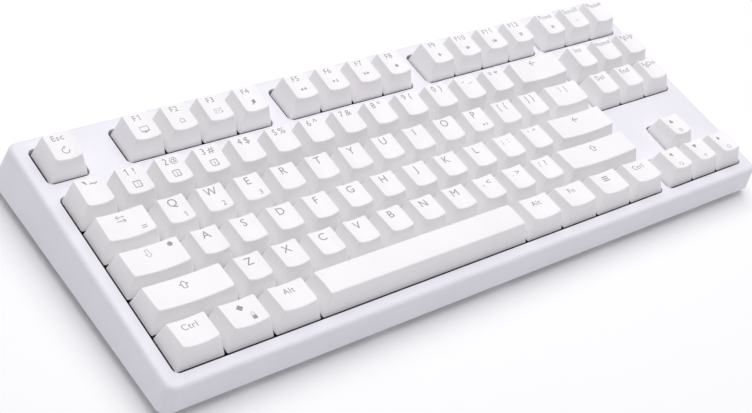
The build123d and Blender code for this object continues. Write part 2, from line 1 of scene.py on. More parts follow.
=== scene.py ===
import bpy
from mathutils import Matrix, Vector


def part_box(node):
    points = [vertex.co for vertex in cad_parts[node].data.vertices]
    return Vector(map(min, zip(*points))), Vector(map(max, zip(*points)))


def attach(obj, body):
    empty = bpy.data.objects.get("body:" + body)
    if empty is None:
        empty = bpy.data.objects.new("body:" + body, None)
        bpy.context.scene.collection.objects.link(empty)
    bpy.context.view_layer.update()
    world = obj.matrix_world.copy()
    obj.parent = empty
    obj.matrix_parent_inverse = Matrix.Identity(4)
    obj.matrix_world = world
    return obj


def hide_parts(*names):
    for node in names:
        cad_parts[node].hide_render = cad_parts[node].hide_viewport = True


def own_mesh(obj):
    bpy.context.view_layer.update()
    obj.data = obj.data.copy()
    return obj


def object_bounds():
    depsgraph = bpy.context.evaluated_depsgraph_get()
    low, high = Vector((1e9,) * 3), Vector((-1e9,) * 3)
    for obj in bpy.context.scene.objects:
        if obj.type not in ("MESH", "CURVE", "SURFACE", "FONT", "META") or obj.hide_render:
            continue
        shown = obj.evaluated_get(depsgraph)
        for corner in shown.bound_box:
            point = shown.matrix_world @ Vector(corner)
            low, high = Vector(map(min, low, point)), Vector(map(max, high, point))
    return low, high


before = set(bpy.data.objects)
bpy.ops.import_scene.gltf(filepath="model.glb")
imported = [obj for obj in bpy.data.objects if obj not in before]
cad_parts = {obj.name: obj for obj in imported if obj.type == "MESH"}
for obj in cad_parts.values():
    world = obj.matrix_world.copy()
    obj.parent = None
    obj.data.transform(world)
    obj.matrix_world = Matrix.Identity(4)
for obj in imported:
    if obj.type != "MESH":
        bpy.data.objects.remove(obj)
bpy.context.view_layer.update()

import math

import bmesh
import bpy
import numpy as np
from mathutils import Matrix, Vector

# The looks of a tenkeyless mechanical keyboard. Shapes are drawn in millimetres and scaled to
# metres when a mesh is made. The deck frame starts at the front left corner of the key field,
# with x to the right, y to the back and z = 0 on the flat top face of the case. It tilts up
# towards the back.
MM = 0.001

# ---------------------------------------------------------------- sizes shared with the CAD

PITCH = 19.05                   # one key unit
FIELD_D = 6.5 * PITCH           # depth of the key field
FUNCTION_Y = 5.45               # front edge of the function row's cells, in key units
TILT = math.radians(3.7)
CAP_GAP, CAP_Z = 0.95, -1.2     # gap between caps, and the height of their lower rims
CAP_WALL, CAP_ROOF, DISH, SIDE_INSET = 1.4, 1.5, 1.1, 2.9
SPACE_CROWN = 0.5               # how far the space bar's top bulges
# row: front height, back height, front inset, back inset of the cap's top face
PROFILES = {
    "function": (11.2, 12.0, 2.9, 0.9),
    "number": (11.9, 12.6, 3.4, 0.9),
    "tab": (10.2, 10.7, 3.6, 1.4),
    "home": (10.4, 9.9, 3.0, 1.8),
    "shift": (10.7, 9.7, 3.5, 1.4),
    "bottom": (10.9, 9.8, 3.4, 1.5),
}
# key: distance from its centre to each of its stabilizer's sliders
SPAN = dict.fromkeys(("enter", "backspace", "left_shift", "right_shift"), 11.938)
SPAN["space"] = 50.0
PLATE_Z, PLATE_THICK, BOARD_Z = -7.0, 1.5, -12.0
BOARD_EDGE = 1.0                # how far plate and board reach past the key field

# the lowest corner of the tilted plate's box gives the deck frame's origin
plate_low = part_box("switch_plate")[0] / MM
PLATE_BOTTOM = PLATE_THICK - PLATE_Z
deck_origin = Vector((
    plate_low.x + BOARD_EDGE,
    plate_low.y + BOARD_EDGE * math.cos(TILT) + PLATE_Z * math.sin(TILT),
    plate_low.z + BOARD_EDGE * math.sin(TILT) + PLATE_BOTTOM * math.cos(TILT),
))
DECK = Matrix.Translation(deck_origin * MM) @ Matrix.Rotation(TILT, 4, "X")


def line_of(names, x, y, row, widths=None):
    """Keys side by side from x, in key units: name -> (centre x, centre y, width, row)."""
    keys = {}
    for name in names:
        width = (widths or {}).get(name, 1)
        keys[name] = ((x + width / 2) * PITCH, (y + 0.5) * PITCH, width, row)
        x += width
    return keys


def keyboard_layout():
    keys = line_of(["esc"], 0, FUNCTION_Y, "function")
    for first, x in ((1, 2), (5, 6.5), (9, 11)):
        keys |= line_of([f"f{n}" for n in range(first, first + 4)], x, FUNCTION_Y, "function")
    keys |= line_of(["print", "scroll", "pause"], 15.25, FUNCTION_Y, "function")
    keys |= line_of(["grave", *"1234567890", "minus", "equals", "backspace"], 0, 4, "number",
                    {"backspace": 2})
    keys |= line_of(["insert", "home", "page_up"], 15.25, 4, "number")
    keys |= line_of(["tab", *"qwertyuiop", "left_bracket", "right_bracket", "backslash"], 0, 3,
                    "tab", {"tab": 1.5, "backslash": 1.5})
    keys |= line_of(["delete", "end", "page_down"], 15.25, 3, "tab")
    keys |= line_of(["caps_lock", *"asdfghjkl", "semicolon", "quote", "enter"], 0, 2, "home",
                    {"caps_lock": 1.75, "enter": 2.25})
    keys |= line_of(["left_shift", *"zxcvbnm", "comma", "period", "slash", "right_shift"], 0, 1,
                    "shift", {"left_shift": 2.25, "right_shift": 2.75})
    keys |= line_of(["up"], 16.25, 1, "shift")
    front = ["left_ctrl", "left_win", "left_alt", "space", "right_alt", "fn", "menu", "right_ctrl"]
    keys |= line_of(front, 0, 0, "bottom", {name: 1.25 for name in front} | {"space": 6.25})
    keys |= line_of(["left", "down", "right"], 15.25, 0, "bottom")
    return keys


KEYS = keyboard_layout()
# CAD bodies that hold several keys; every other key has a body of its own, key_NAME.
SHARED = {
    "function_keys": [f"f{n}" for n in range(1, 13)],
    "number_keys": ["grave", *"1234567890", "minus", "equals"],
    "tab_caps_keys": ["tab", "caps_lock"],
    "punctuation_keys": ["left_bracket", "right_bracket", "backslash", "semicolon", "quote",
                         "comma", "period", "slash"],
    "bottom_row_keys": ["left_ctrl", "left_win", "left_alt", "right_alt", "fn", "menu",
                        "right_ctrl"],
    "navigation_keys": ["print", "scroll", "pause", "insert", "home", "page_up", "delete", "end",
                        "page_down"],
    "arrow_keys": ["up", "left", "down", "right"],
}
BODY = {name: f"key_{name}" for name in KEYS}
BODY |= {name: body for body, names in SHARED.items() for name in names}

# ---------------------------------------------------------------- mesh shells from rings

CORNERS = [(1, -1), (1, 1), (-1, 1), (-1, -1)]


def outline_terms(long_steps, side_steps, arc_steps=6):
    """For each point round a rounded rectangle: its corner's signs and its arc's direction."""
    rows = []
    for k, (sx, sy) in enumerate(CORNERS):
        for step in range(arc_steps + 1):
            turn = math.radians(-90 + 90 * (k + step / arc_steps))
            rows.append((sx, sy, math.cos(turn), math.sin(turn)))
        nx, ny = CORNERS[(k + 1) % 4]
        steps = side_steps if sx == nx else long_steps
        for step in range(1, steps):
            t = step / steps
            rows.append((sx + (nx - sx) * t, sy + (ny - sy) * t, math.cos(turn),
                         math.sin(turn)))
    return np.array(rows).T


def rounded(terms, half_x, y_front, y_back, radius, z):
    """A ring of points round a rounded rectangle; any size may differ from point to point."""
    ax, ay, cx, cy = terms
    middle, half_y = (y_front + y_back) / 2, (y_back - y_front) / 2
    x = (half_x - radius) * ax + radius * cx
    y = middle + (half_y - radius) * ay + radius * cy
    return np.stack([x, y, z + 0 * x], axis=1)


def circle_like(ring, radius, z, centre=(0, 0)):
    """A circle with its points at the same angles as another ring's."""
    turn = np.arctan2(ring[:, 1] - centre[1], ring[:, 0] - centre[0])
    x, y = centre[0] + radius * np.cos(turn), centre[1] + radius * np.sin(turn)
    return np.stack([x, y, z + 0 * turn], axis=1)


class Shells:
    """Collects closed shells and makes one mesh of them."""

    def __init__(self):
        self.points, self.faces, self.count = [], [], 0

    def add(self, points, faces):
        self.points.append(np.asarray(points, float))
        self.faces += [[self.count + i for i in face] for face in faces]
        self.count += len(points)

    def loft(self, rings, wrap=False):
        """A shell through rings of equal length. Its ends close on a point, or on each other."""
        size, faces = len(rings[0]), []
        last = len(rings) if wrap else len(rings) - 1
        for i in range(last):
            a, b = i * size, (i + 1) % len(rings) * size
            for j in range(size):
                k = (j + 1) % size
                faces.append([a + j, a + k, b + k, b + j])
        points = list(rings)
        if not wrap:
            poles = [rings[0].mean(axis=0), rings[-1].mean(axis=0)]
            low, high = size * len(rings), size * len(rings) + 1
            top = size * (len(rings) - 1)
            for j in range(size):
                k = (j + 1) % size
                faces.append([low, k, j])
                faces.append([top + j, top + k, high])
            points.append(np.array(poles))
        self.add(np.concatenate(points), faces)

    def mesh(self, name, smooth_angle=40):
        mesh = bpy.data.meshes.new(name)
        mesh.from_pydata((np.concatenate(self.points) * MM).tolist(), [], self.faces)
        mesh.validate()
        mesh.shade_smooth()
        mesh.set_sharp_from_angle(angle=math.radians(smooth_angle))
        return mesh


def bevelled_box(shells, x0, x1, y0, y1, z0, z1, edge=0.3):
    """A closed block with softened edges."""
    terms = outline_terms(1, 1, 2)
    cx, half = (x0 + x1) / 2, (x1 - x0) / 2
    rings = []
    for inset, z in ((edge, z0), (0, z0 + edge), (0, z1 - edge), (edge, z1)):
        ring = rounded(terms, half - inset, y0 + inset, y1 - inset, max(edge - inset, 0.02), z)
        rings.append(ring + (cx, 0, 0))
    shells.loft(rings)


def place(name, mesh, material, body, matrix=None):
    """Makes a piece of a mesh, put in place by a matrix and riding on a CAD body."""
    piece = bpy.data.objects.new(name, mesh)
    bpy.context.scene.collection.objects.link(piece)
    if not mesh.materials:
        mesh.materials.append(material)
    piece.matrix_world = matrix or Matrix.Identity(4)
    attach(piece, body)
    return piece


# ---------------------------------------------------------------- procedural materials


class Nodes:
    """Builds a node material on a Principled shader."""

    def __init__(self, name, colour, roughness, metallic=0.0):
        self.material = bpy.data.materials.new(name)
        self.material.use_nodes = True
        self.material.diffuse_color = (*colour, 1)
        self.tree = self.material.node_tree
        self.shader = self.tree.nodes["Principled BSDF"]
        self.shader.inputs["Base Color"].default_value = (*colour, 1)
        self.shader.inputs["Roughness"].default_value = roughness
        self.shader.inputs["Metallic"].default_value = metallic
        self.coords = self.new("ShaderNodeTexCoord").outputs["Object"]

    def new(self, kind, **settings):
        made = self.tree.nodes.new(kind)
        for key, value in settings.items():
            setattr(made, key, value)
        return made

    def join(self, source, target):
        self.tree.links.new(source, target)

    def vary(self):
        """Shifts the pattern from piece to piece, so that pieces that share a mesh differ."""
        info, shift = self.new("ShaderNodeObjectInfo"), self.new("ShaderNodeVectorMath")
        shift.operation = "MULTIPLY_ADD"
        self.join(info.outputs["Random"], shift.inputs[0])
        shift.inputs[1].default_value = (3.1, 1.7, 2.3)
        self.join(self.coords, shift.inputs[2])
        self.coords = shift.outputs[0]

    def noise(self, scale, detail=4.0, stretch=None, distortion=0.0):
        noise = self.new("ShaderNodeTexNoise")
        noise.inputs["Scale"].default_value = scale
        noise.inputs["Detail"].default_value = detail
        noise.inputs["Distortion"].default_value = distortion
        source = self.coords
        if stretch:
            mapping = self.new("ShaderNodeMapping")
            mapping.inputs["Scale"].default_value = stretch
            self.join(source, mapping.inputs["Vector"])
            source = mapping.outputs[0]
        self.join(source, noise.inputs["Vector"])
        return noise.outputs["Fac"]

    def voronoi(self, scale):
        cells = self.new("ShaderNodeTexVoronoi")
        cells.inputs["Scale"].default_value = scale
        self.join(self.coords, cells.inputs["Vector"])
        return cells.outputs["Distance"]

    def spread(self, source, low, high, start=0.3, end=0.7):
        """Maps a 0-1 pattern onto a range of values."""
        span = self.new("ShaderNodeMapRange")
        self.join(source, span.inputs["Value"])
        for key, value in (("From Min", start), ("From Max", end), ("To Min", low),
                           ("To Max", high)):
            span.inputs[key].default_value = value
        return span.outputs[0]

    def tint(self, source, low, high, start=0.3, end=0.7):
        """Lets the base colour run between two colours with a pattern."""
        mix = self.new("ShaderNodeMix", data_type="RGBA")
        self.join(self.spread(source, 0, 1, start, end), mix.inputs[0])
        mix.inputs[6].default_value = (*low, 1)
        mix.inputs[7].default_value = (*high, 1)
        self.join(mix.outputs[2], self.shader.inputs["Base Color"])

    def gloss(self, source, low, high):
        self.join(self.spread(source, low, high), self.shader.inputs["Roughness"])

    def bump(self, *layers):
        """Layers of relief: (pattern, strength, distance in metres)."""
        normal = None
        for source, strength, distance in layers:
            bump = self.new("ShaderNodeBump")
            bump.inputs["Strength"].default_value = strength
            bump.inputs["Distance"].default_value = distance
            self.join(source, bump.inputs["Height"])
            if normal:
                self.join(normal, bump.inputs["Normal"])
            normal = bump.outputs[0]
        self.join(normal, self.shader.inputs["Normal"])


def shade(colour, factor):
    return tuple(min(1.0, c * factor) for c in colour)


def moulded_plastic(name, colour, roughness, grain=2600, relief=0.25, vary=True, mottle=0.03):
    """Moulded plastic: a fine spark-eroded grain, faint mottling and uneven gloss."""
    made = Nodes(name, colour, roughness)
    if vary:
        made.vary()
    made.tint(made.noise(45, 3, distortion=0.4), shade(colour, 1 - mottle), colour)
    made.gloss(made.noise(160, 5), roughness - 0.06, roughness + 0.07)
    made.bump((made.noise(grain, 2), relief, 0.00003), (made.noise(90, 2), 0.12, 0.00005))
    made.shader.inputs["Specular IOR Level"].default_value = 0.4
    return made.material


def powder_coat(name, colour, roughness):
    """Coated sheet steel: a tight orange peel and a little colour change."""
    made = Nodes(name, colour, roughness, 0.3)
    made.tint(made.noise(70, 4), shade(colour, 0.85), shade(colour, 1.05))
    made.gloss(made.noise(300, 4), roughness - 0.08, roughness + 0.08)
    made.bump((made.voronoi(1400), 0.35, 0.00004), (made.noise(3000, 2), 0.2, 0.00002))
    return made.material


def drawn_metal(name, colour, roughness, stretch=(1, 1, 1)):
    """Drawn or stamped metal with fine lines along it and smudged gloss."""
    made = Nodes(name, colour, roughness, 1.0)
    lines = made.noise(900, 5, stretch)
    made.tint(made.noise(120, 4), shade(colour, 0.82), colour)
    made.gloss(lines, roughness - 0.08, roughness + 0.12)
    made.bump((lines, 0.3, 0.00002))
    return made.material


def laminate(name, mask, copper):
    """Solder mask over copper traces on a glass laminate."""
    made = Nodes(name, mask, 0.35)
    traces = made.new("ShaderNodeTexBrick")
    made.join(made.coords, traces.inputs["Vector"])
    traces.inputs["Scale"].default_value = 90
    traces.inputs["Mortar Size"].default_value = 0.03
    made.tint(traces.outputs["Fac"], mask, copper, 0.0, 1.0)
    made.gloss(made.noise(200, 4), 0.28, 0.42)
    made.bump((traces.outputs["Fac"], 0.4, 0.00004), (made.noise(2200, 3), 0.2, 0.00002))
    made.shader.inputs["Coat Weight"].default_value = 0.4
    made.shader.inputs["Coat Roughness"].default_value = 0.15
    return made.material


def rubber(name, colour):
    """Matt rubber with a sand-like surface and dusty patches."""
    made = Nodes(name, colour, 0.85)
    made.tint(made.noise(140, 5), colour, shade(colour, 2.1), 0.5, 0.85)
    made.gloss(made.noise(400, 3), 0.75, 0.95)
    made.bump((made.voronoi(1800), 0.4, 0.00005), (made.noise(3500, 2), 0.3, 0.00003))
    return made.material


def printed_ink(name, colour):
    """Pad-printed ink: slightly uneven cover and a satin face."""
    made = Nodes(name, colour, 0.5)
    made.vary()
    made.tint(made.noise(1500, 4), shade(colour, 0.9), shade(colour, 1.1))
    made.gloss(made.noise(900, 3), 0.45, 0.6)
    made.bump((made.noise(3000, 2), 0.15, 0.00001))
    return made.material


def lens(name, colour):
    """A clear coloured lens over a lamp that is off."""
    made = Nodes(name, colour, 0.2)
    made.tint(made.noise(700, 3), shade(colour, 0.85), shade(colour, 1.1))
    made.gloss(made.noise(500, 3), 0.15, 0.3)
    made.bump((made.noise(1500, 2), 0.15, 0.00002))
    made.shader.inputs["Coat Weight"].default_value = 0.6
    return made.material


CAP_WHITE = (0.965, 0.95, 0.955)
CASE_WHITE = (0.86, 0.845, 0.9)
cap_plastic = moulded_plastic("cap_plastic", CAP_WHITE, 0.46, grain=2200, relief=0.22)
case_plastic = moulded_plastic("case_plastic", CASE_WHITE, 0.5, grain=1900, relief=0.3,
                               vary=False)
tray_plastic = moulded_plastic("tray_plastic", (0.74, 0.735, 0.77), 0.55, grain=1500, relief=0.4,
                               vary=False)
foot_plastic = moulded_plastic("foot_plastic", (0.70, 0.695, 0.73), 0.5, grain=1700, relief=0.35)
slider_plastic = moulded_plastic("slider_plastic", (0.045, 0.14, 0.42), 0.38, mottle=0.12)
switch_plastic = moulded_plastic("switch_plastic", (0.02, 0.02, 0.022), 0.42, vary=False,
                                 mottle=0.3)
stab_plastic = moulded_plastic("stab_plastic", (0.03, 0.03, 0.033), 0.4, vary=False, mottle=0.3)
chip_plastic = moulded_plastic("chip_plastic", (0.018, 0.018, 0.02), 0.55, relief=0.5,
                               vary=False, mottle=0.3)
legend_ink = printed_ink("legend_ink", (0.34, 0.33, 0.33))
pad_rubber = rubber("pad_rubber", (0.1, 0.1, 0.105))
contact_gold = drawn_metal("contact_gold", (0.9, 0.68, 0.3), 0.25, (1, 0.2, 1))
# CAD node -> material, for the nodes that are seen as they are
NODE_MATERIALS = {
    "top_case": case_plastic,
    "bottom_case": tray_plastic,
    "switch_plate": powder_coat("plate_steel", (0.05, 0.05, 0.055), 0.5),
    "circuit_board": laminate("board_laminate", (0.01, 0.07, 0.035), (0.03, 0.13, 0.05)),
    "board_components": chip_plastic,
    "caps_lock_led": lens("led_lens", (0.75, 0.8, 0.78)),
    "usb_socket": drawn_metal("port_steel", (0.62, 0.62, 0.63), 0.3, (0.2, 1, 1)),
    "switch_bottom_housings": switch_plastic,
    "switch_top_housings": switch_plastic,
    "switch_contacts": drawn_metal("contact_brass", (0.78, 0.56, 0.24), 0.3, (1, 1, 0.2)),
    "stabilizer_housings": stab_plastic,
    "rubber_feet": pad_rubber,
    "case_screws": drawn_metal("screw_steel", (0.35, 0.35, 0.36), 0.35),
    "left_flip_foot": foot_plastic,
    "right_flip_foot": foot_plastic,
}
wire_steel = drawn_metal("wire_steel", (0.6, 0.6, 0.61), 0.25, (0.1, 1, 1))
NODE_MATERIALS |= {f"stabilizer_wire_{name}": wire_steel for name in SPAN}

for node, material in NODE_MATERIALS.items():
    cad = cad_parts[node]
    cad.data.materials.clear()
    cad.data.materials.append(material)
    for polygon in cad.data.polygons:
        polygon.material_index = 0

# ---------------------------------------------------------------- keycaps


class CapShape:
    """The faces of one kind of keycap, about its key's centre, with the rim at z = 0."""

    def __init__(self, units, row, is_space, shrink=0.0, drop=0.0):
        front, back, front_inset, back_inset = PROFILES[row]
        self.half_w = units * PITCH / 2 - CAP_GAP / 2 - shrink
        self.half_d = PITCH / 2 - CAP_GAP / 2 - shrink
        self.front, self.back = front - drop, back - drop
        self.front_slope, self.back_slope = front_inset / front, back_inset / back
        self.side_slope = 2 * SIDE_INSET / (front + back)
        y0 = -self.half_d + self.front_slope * self.front
        y1 = self.half_d - self.back_slope * self.back
        self.run, self.middle = y1 - y0, (y0 + y1) / 2
        self.crown = SPACE_CROWN if is_space and drop == 0 else 0.0
        self.dish = not is_space and drop == 0
        half = self.half_w - self.side_slope * front
        self.dish_half = half
        self.dish_r = (half**2 + DISH**2) / (2 * DISH)

    def line(self, y):
        """Height of the top face at its sides."""
        t = (y - self.middle) / self.run
        rise = self.back - self.front
        bulge = self.crown * (1 - 4 * t**2)
        return (self.front + self.back) / 2 + rise * t + bulge

    def top(self, x, y):
        z = self.line(y)
        if self.dish:
            slope = math.atan2(self.back - self.front, self.run)
            across = np.minimum(np.abs(x), self.dish_r * 0.999)
            high = math.sqrt(self.dish_r**2 - self.dish_half**2)
            z = z + (high - np.sqrt(self.dish_r**2 - across**2)) / math.cos(slope)
        return z

    def wall(self, terms, z, radius, inset=0.0):
        half_x = self.half_w - self.side_slope * z - inset
        y_front = -self.half_d + self.front_slope * z + inset
        y_back = self.half_d - self.back_slope * z - inset
        return rounded(terms, half_x, y_front, y_back, radius, z)

    def edge(self, terms, radius_at):
        """Where the walls meet the top face."""
        z = self.line(terms[1] * self.run / 2 + self.middle)
        for _ in range(12):
            ring = self.wall(terms, z, radius_at(z))
            z = self.top(ring[:, 0], ring[:, 1])
        return z


CORNER_LOW, CORNER_FRONT, CORNER_BACK = 0.8, 1.3, 0.9      # plan radii of a cap's corners
INNER_CORNER = 0.6
EDGE_L = 0.45                   # reach of the rounding round the top
RIM_L, RIM_H = 0.2, 0.25        # bevel round the rim


def add_cap(shells, units, row, is_space):
    terms = outline_terms(max(6, round(7 * units)), 7)
    outer = CapShape(units, row, is_space)
    drop = CAP_ROOF if is_space else CAP_ROOF + DISH
    inner = CapShape(units, row, is_space, CAP_WALL, drop)
    corner_top = np.where(terms[1] < 0, CORNER_FRONT, CORNER_BACK)

    def radius_at(z):
        return CORNER_LOW + (corner_top - CORNER_LOW) * z / outer.front

    ceiling = inner.edge(terms, lambda z: 0.5)
    roof = inner.wall(terms, ceiling, 0.5)
    rings = []
    for scale in (0.15, 0.6):
        x, y = roof[:, 0] * scale, inner.middle + (roof[:, 1] - inner.middle) * scale
        rings.append(np.stack([x, y, inner.line(y)], axis=1))
    rings.append(roof)
    rings.append(inner.wall(terms, ceiling - 0.4, 0.55))
    rings.append(inner.wall(terms, 0.3, INNER_CORNER))
    rings.append(inner.wall(terms, 0.0, INNER_CORNER))
    rings.append(outer.wall(terms, 0.0, CORNER_LOW - RIM_L, RIM_L))
    rings.append(outer.wall(terms, RIM_H, radius_at(RIM_H)))

    z_edge = outer.edge(terms, radius_at)
    z_low = z_edge - EDGE_L
    for share in (0.35, 0.7):
        z = RIM_H + (z_low - RIM_H) * share
        rings.append(outer.wall(terms, z, radius_at(z)))
    low = outer.wall(terms, z_low, radius_at(z_low))
    edge = outer.wall(terms, z_edge, radius_at(z_edge))
    inside = outer.wall(terms, z_edge, radius_at(z_edge) - 0.4 * EDGE_L, EDGE_L)
    inside[:, 2] = outer.top(inside[:, 0], inside[:, 1])
    for t in (0, 0.25, 0.5, 0.75, 1):
        rings.append(low * (1 - t) ** 2 + edge * 2 * t * (1 - t) + inside * t**2)
    for scale in (0.88, 0.7, 0.5, 0.3, 0.1):
        x, y = inside[:, 0] * scale, outer.middle + (inside[:, 1] - outer.middle) * scale
        rings.append(np.stack([x, y, outer.top(x, y)], axis=1))
    shells.loft(rings)


def cross_ring(arm, bar_x, bar_y, z, steps=3):
    """A ring round a plus sign, with each of its sides divided."""
    a, bx, by = arm / 2, bar_x / 2, bar_y / 2
    corners = [(a, -bx), (a, bx), (by, bx), (by, a), (-by, a), (-by, bx), (-a, bx), (-a, -bx),
               (-by, -bx), (-by, -a), (by, -a), (by, -bx)]
    points = []
    for k, (x0, y0) in enumerate(corners):
        x1, y1 = corners[(k + 1) % 12]
        for step in range(steps):
            t = step / steps
            points.append((x0 + (x1 - x0) * t, y0 + (y1 - y0) * t, z))
    return np.array(points)


# arm length and the widths of its two bars
SOCKET_CROSS, SLIDER_CROSS, CROSS_TIP = (4.1, 1.27, 1.39), (4.0, 1.17, 1.29), (3.6, 0.85, 0.95)
SOCKET_Z, SOCKET_R, SOCKET_DEPTH, SOCKET_BEVEL = 0.8, 2.75, 3.8, 0.15
SOCKET_ROOT = 0.4               # how far the socket's post runs into the cap's ceiling


def add_socket(shells, x, ceiling):
    """The round socket under a cap that a slider's cross pushes into."""
    mouth = cross_ring(*SOCKET_CROSS, SOCKET_Z)
    deep = cross_ring(*SOCKET_CROSS, SOCKET_Z + SOCKET_DEPTH)
    rings = [deep * (0.3, 0.3, 1), deep, mouth + (0, 0, SOCKET_BEVEL), mouth * (1.03, 1.03, 1)]
    rings += [circle_like(mouth, SOCKET_R - SOCKET_BEVEL, SOCKET_Z),
              circle_like(mouth, SOCKET_R, SOCKET_Z + SOCKET_BEVEL),
              circle_like(mouth, SOCKET_R, ceiling + SOCKET_ROOT),
              circle_like(mouth, SOCKET_R * 0.3, ceiling + SOCKET_ROOT)]
    shells.loft([ring + (x, 0, 0) for ring in rings])


def cap_mesh(units, row, name):
    shells = Shells()
    is_space = name == "space"
    add_cap(shells, units, row, is_space)
    drop = CAP_ROOF if is_space else CAP_ROOF + DISH
    ceiling = CapShape(units, row, is_space, CAP_WALL, drop).line(0)
    span = SPAN.get(name)
    for x in ([-span, 0, span] if span else [0]):
        add_socket(shells, x, ceiling)
    return shells.mesh(f"cap_{row}_{units}_{name}", 35)


# ---------------------------------------------------------------- sliders in the switches


CROSS_LOW, CROSS_HIGH, TIP_H = -0.8, 3.2, 0.25


def add_cross(shells):
    """The cross on top of a slider, which a cap's socket takes."""
    rings = [cross_ring(*SLIDER_CROSS, CROSS_LOW), cross_ring(*SLIDER_CROSS, CROSS_HIGH - TIP_H),
             cross_ring(*CROSS_TIP, CROSS_HIGH)]
    shells.loft([rings[0] * (0.2, 0.2, 1), *rings, rings[-1] * (0.2, 0.2, 1)])


def slider_mesh():
    """Pin, captive shoulders with a spring recess, platform and cross."""
    shells = Shells()
    terms = outline_terms(3, 3, 2)

    def plate(half_x, half_y, z, radius=0.3):
        return rounded(terms, half_x, -half_y, half_y, radius, z)

    base = plate(5.1, 3.5, -6.5)
    rings = [circle_like(base, 0.4, -3.0), circle_like(base, 2.4, -3.0),
             circle_like(base, 2.4, -6.4), circle_like(base, 2.5, -6.5),
             plate(4.95, 3.35, -6.5), plate(5.1, 3.5, -6.35), plate(5.1, 3.5, -1.85),
             plate(4.95, 3.35, -1.7), plate(3.6, 2.8, -1.7), plate(3.6, 2.8, -0.65),
             plate(3.45, 2.65, -0.5), plate(0.6, 0.6, -0.5, 0.1)]
    shells.loft(rings)
    add_cross(shells)
    profile = ((0.3, -9.5), (0.75, -9.5), (0.9, -9.2), (0.9, -2.8), (0.3, -2.8))
    shells.loft([circle_like(base, radius, z) for radius, z in profile])
    return shells.mesh("slider")


def stab_slider_mesh():
    """A stabilizer's slider: a block with a slot right through for the wire's hook."""
    shells = Shells()
    terms = outline_terms(2, 2, 2)
    slot = rounded(terms, 0.9, -1.5, 0.95, 0.3, 0)
    hull = rounded(terms, 3.65, -2.5, 2.5, 0.4, 0)
    rings = []
    # a ring's x stands for height here, because the slot runs along the block's x
    for ring, centre, x in ((hull, -4.15, -2.2), (hull, -4.15, 2.2), (slot, -6.4, 2.2),
                            (slot, -6.4, -2.2)):
        up, y = centre + ring[:, 0], ring[:, 1]
        rings.append(np.stack([x + 0 * y, y, up], axis=1))
    shells.loft([ring[::-1] for ring in rings], wrap=True)
    add_cross(shells)
    return shells.mesh("stab_slider")


# ---------------------------------------------------------------- printed legends

# middle of the main legend in each row of keys, from the key's centre
NUMBER_Y, TAB_Y, HOME_Y, SHIFT_Y, BOTTOM_Y = 5.7, 4.8, 4.1, 4.2, 3.8
LETTER, WORD, MARK, AT_SIGN = 4.2, 3.1, 3.6, 2.8    # heights of a capital
PAIR_LEFT, PAIR_RIGHT = -1.7, 2.1                   # middles of two marks side by side
ICON_AT, BOX_AT, CORNER_AT = (0.5, -1.2), (0.3, -1.3), (2.6, -2.6)
BOX, IN_BOX, IN_CORNER = 3.6, 1.8, 2.6              # heights of a box, a digit in it, a corner's
ONE = "\U0001D7E3"              # a 1 with a flag, which the font's plain 1 lacks
PAIRS = {
    "1": (ONE, "!"), "2": "2@", "3": "3#", "4": "4$", "5": "5%", "6": "6^", "7": "7&",
    "8": "8*", "9": "9(", "0": "0)", "minus": "-_", "equals": "=+",
}
TAB_PAIRS = {"left_bracket": "[{", "right_bracket": "]}", "backslash": "\\|"}
HOME_PAIRS = {"semicolon": ";:", "quote": "'\""}
SHIFT_PAIRS = {"comma": ",<", "period": ".>", "slash": "/?"}
WORDS = {
    "esc": ("Esc", NUMBER_Y), "print": ("Print", NUMBER_Y), "scroll": ("Scroll", NUMBER_Y),
    "pause": ("Pause", NUMBER_Y), "insert": ("Ins", NUMBER_Y), "home": ("Home", NUMBER_Y),
    "page_up": ("PgUp", NUMBER_Y), "delete": ("Del", TAB_Y), "end": ("End", TAB_Y),
    "page_down": ("PgDn", TAB_Y), "left_ctrl": ("Ctrl", BOTTOM_Y), "left_alt": ("Alt", BOTTOM_Y),
    "right_alt": ("Alt", BOTTOM_Y), "fn": ("Fn", BOTTOM_Y), "right_ctrl": ("Ctrl", BOTTOM_Y),
}
# what stands under F1 to F12, and its height
FUNCTION_ICONS = [("\U0001F5B5", 3.5), ("⌂", 2.7), ("✉", 2.7), ("♫", 3.0), ("◀◀", 2.0),
                  ("▶▮", 2.0), ("▶▶", 2.0), ("■", 1.6), ("\U0001F568", 2.4),
                  ("\U0001F569", 2.4), ("\U0001F56A", 2.4), ("▦", 2.0)]
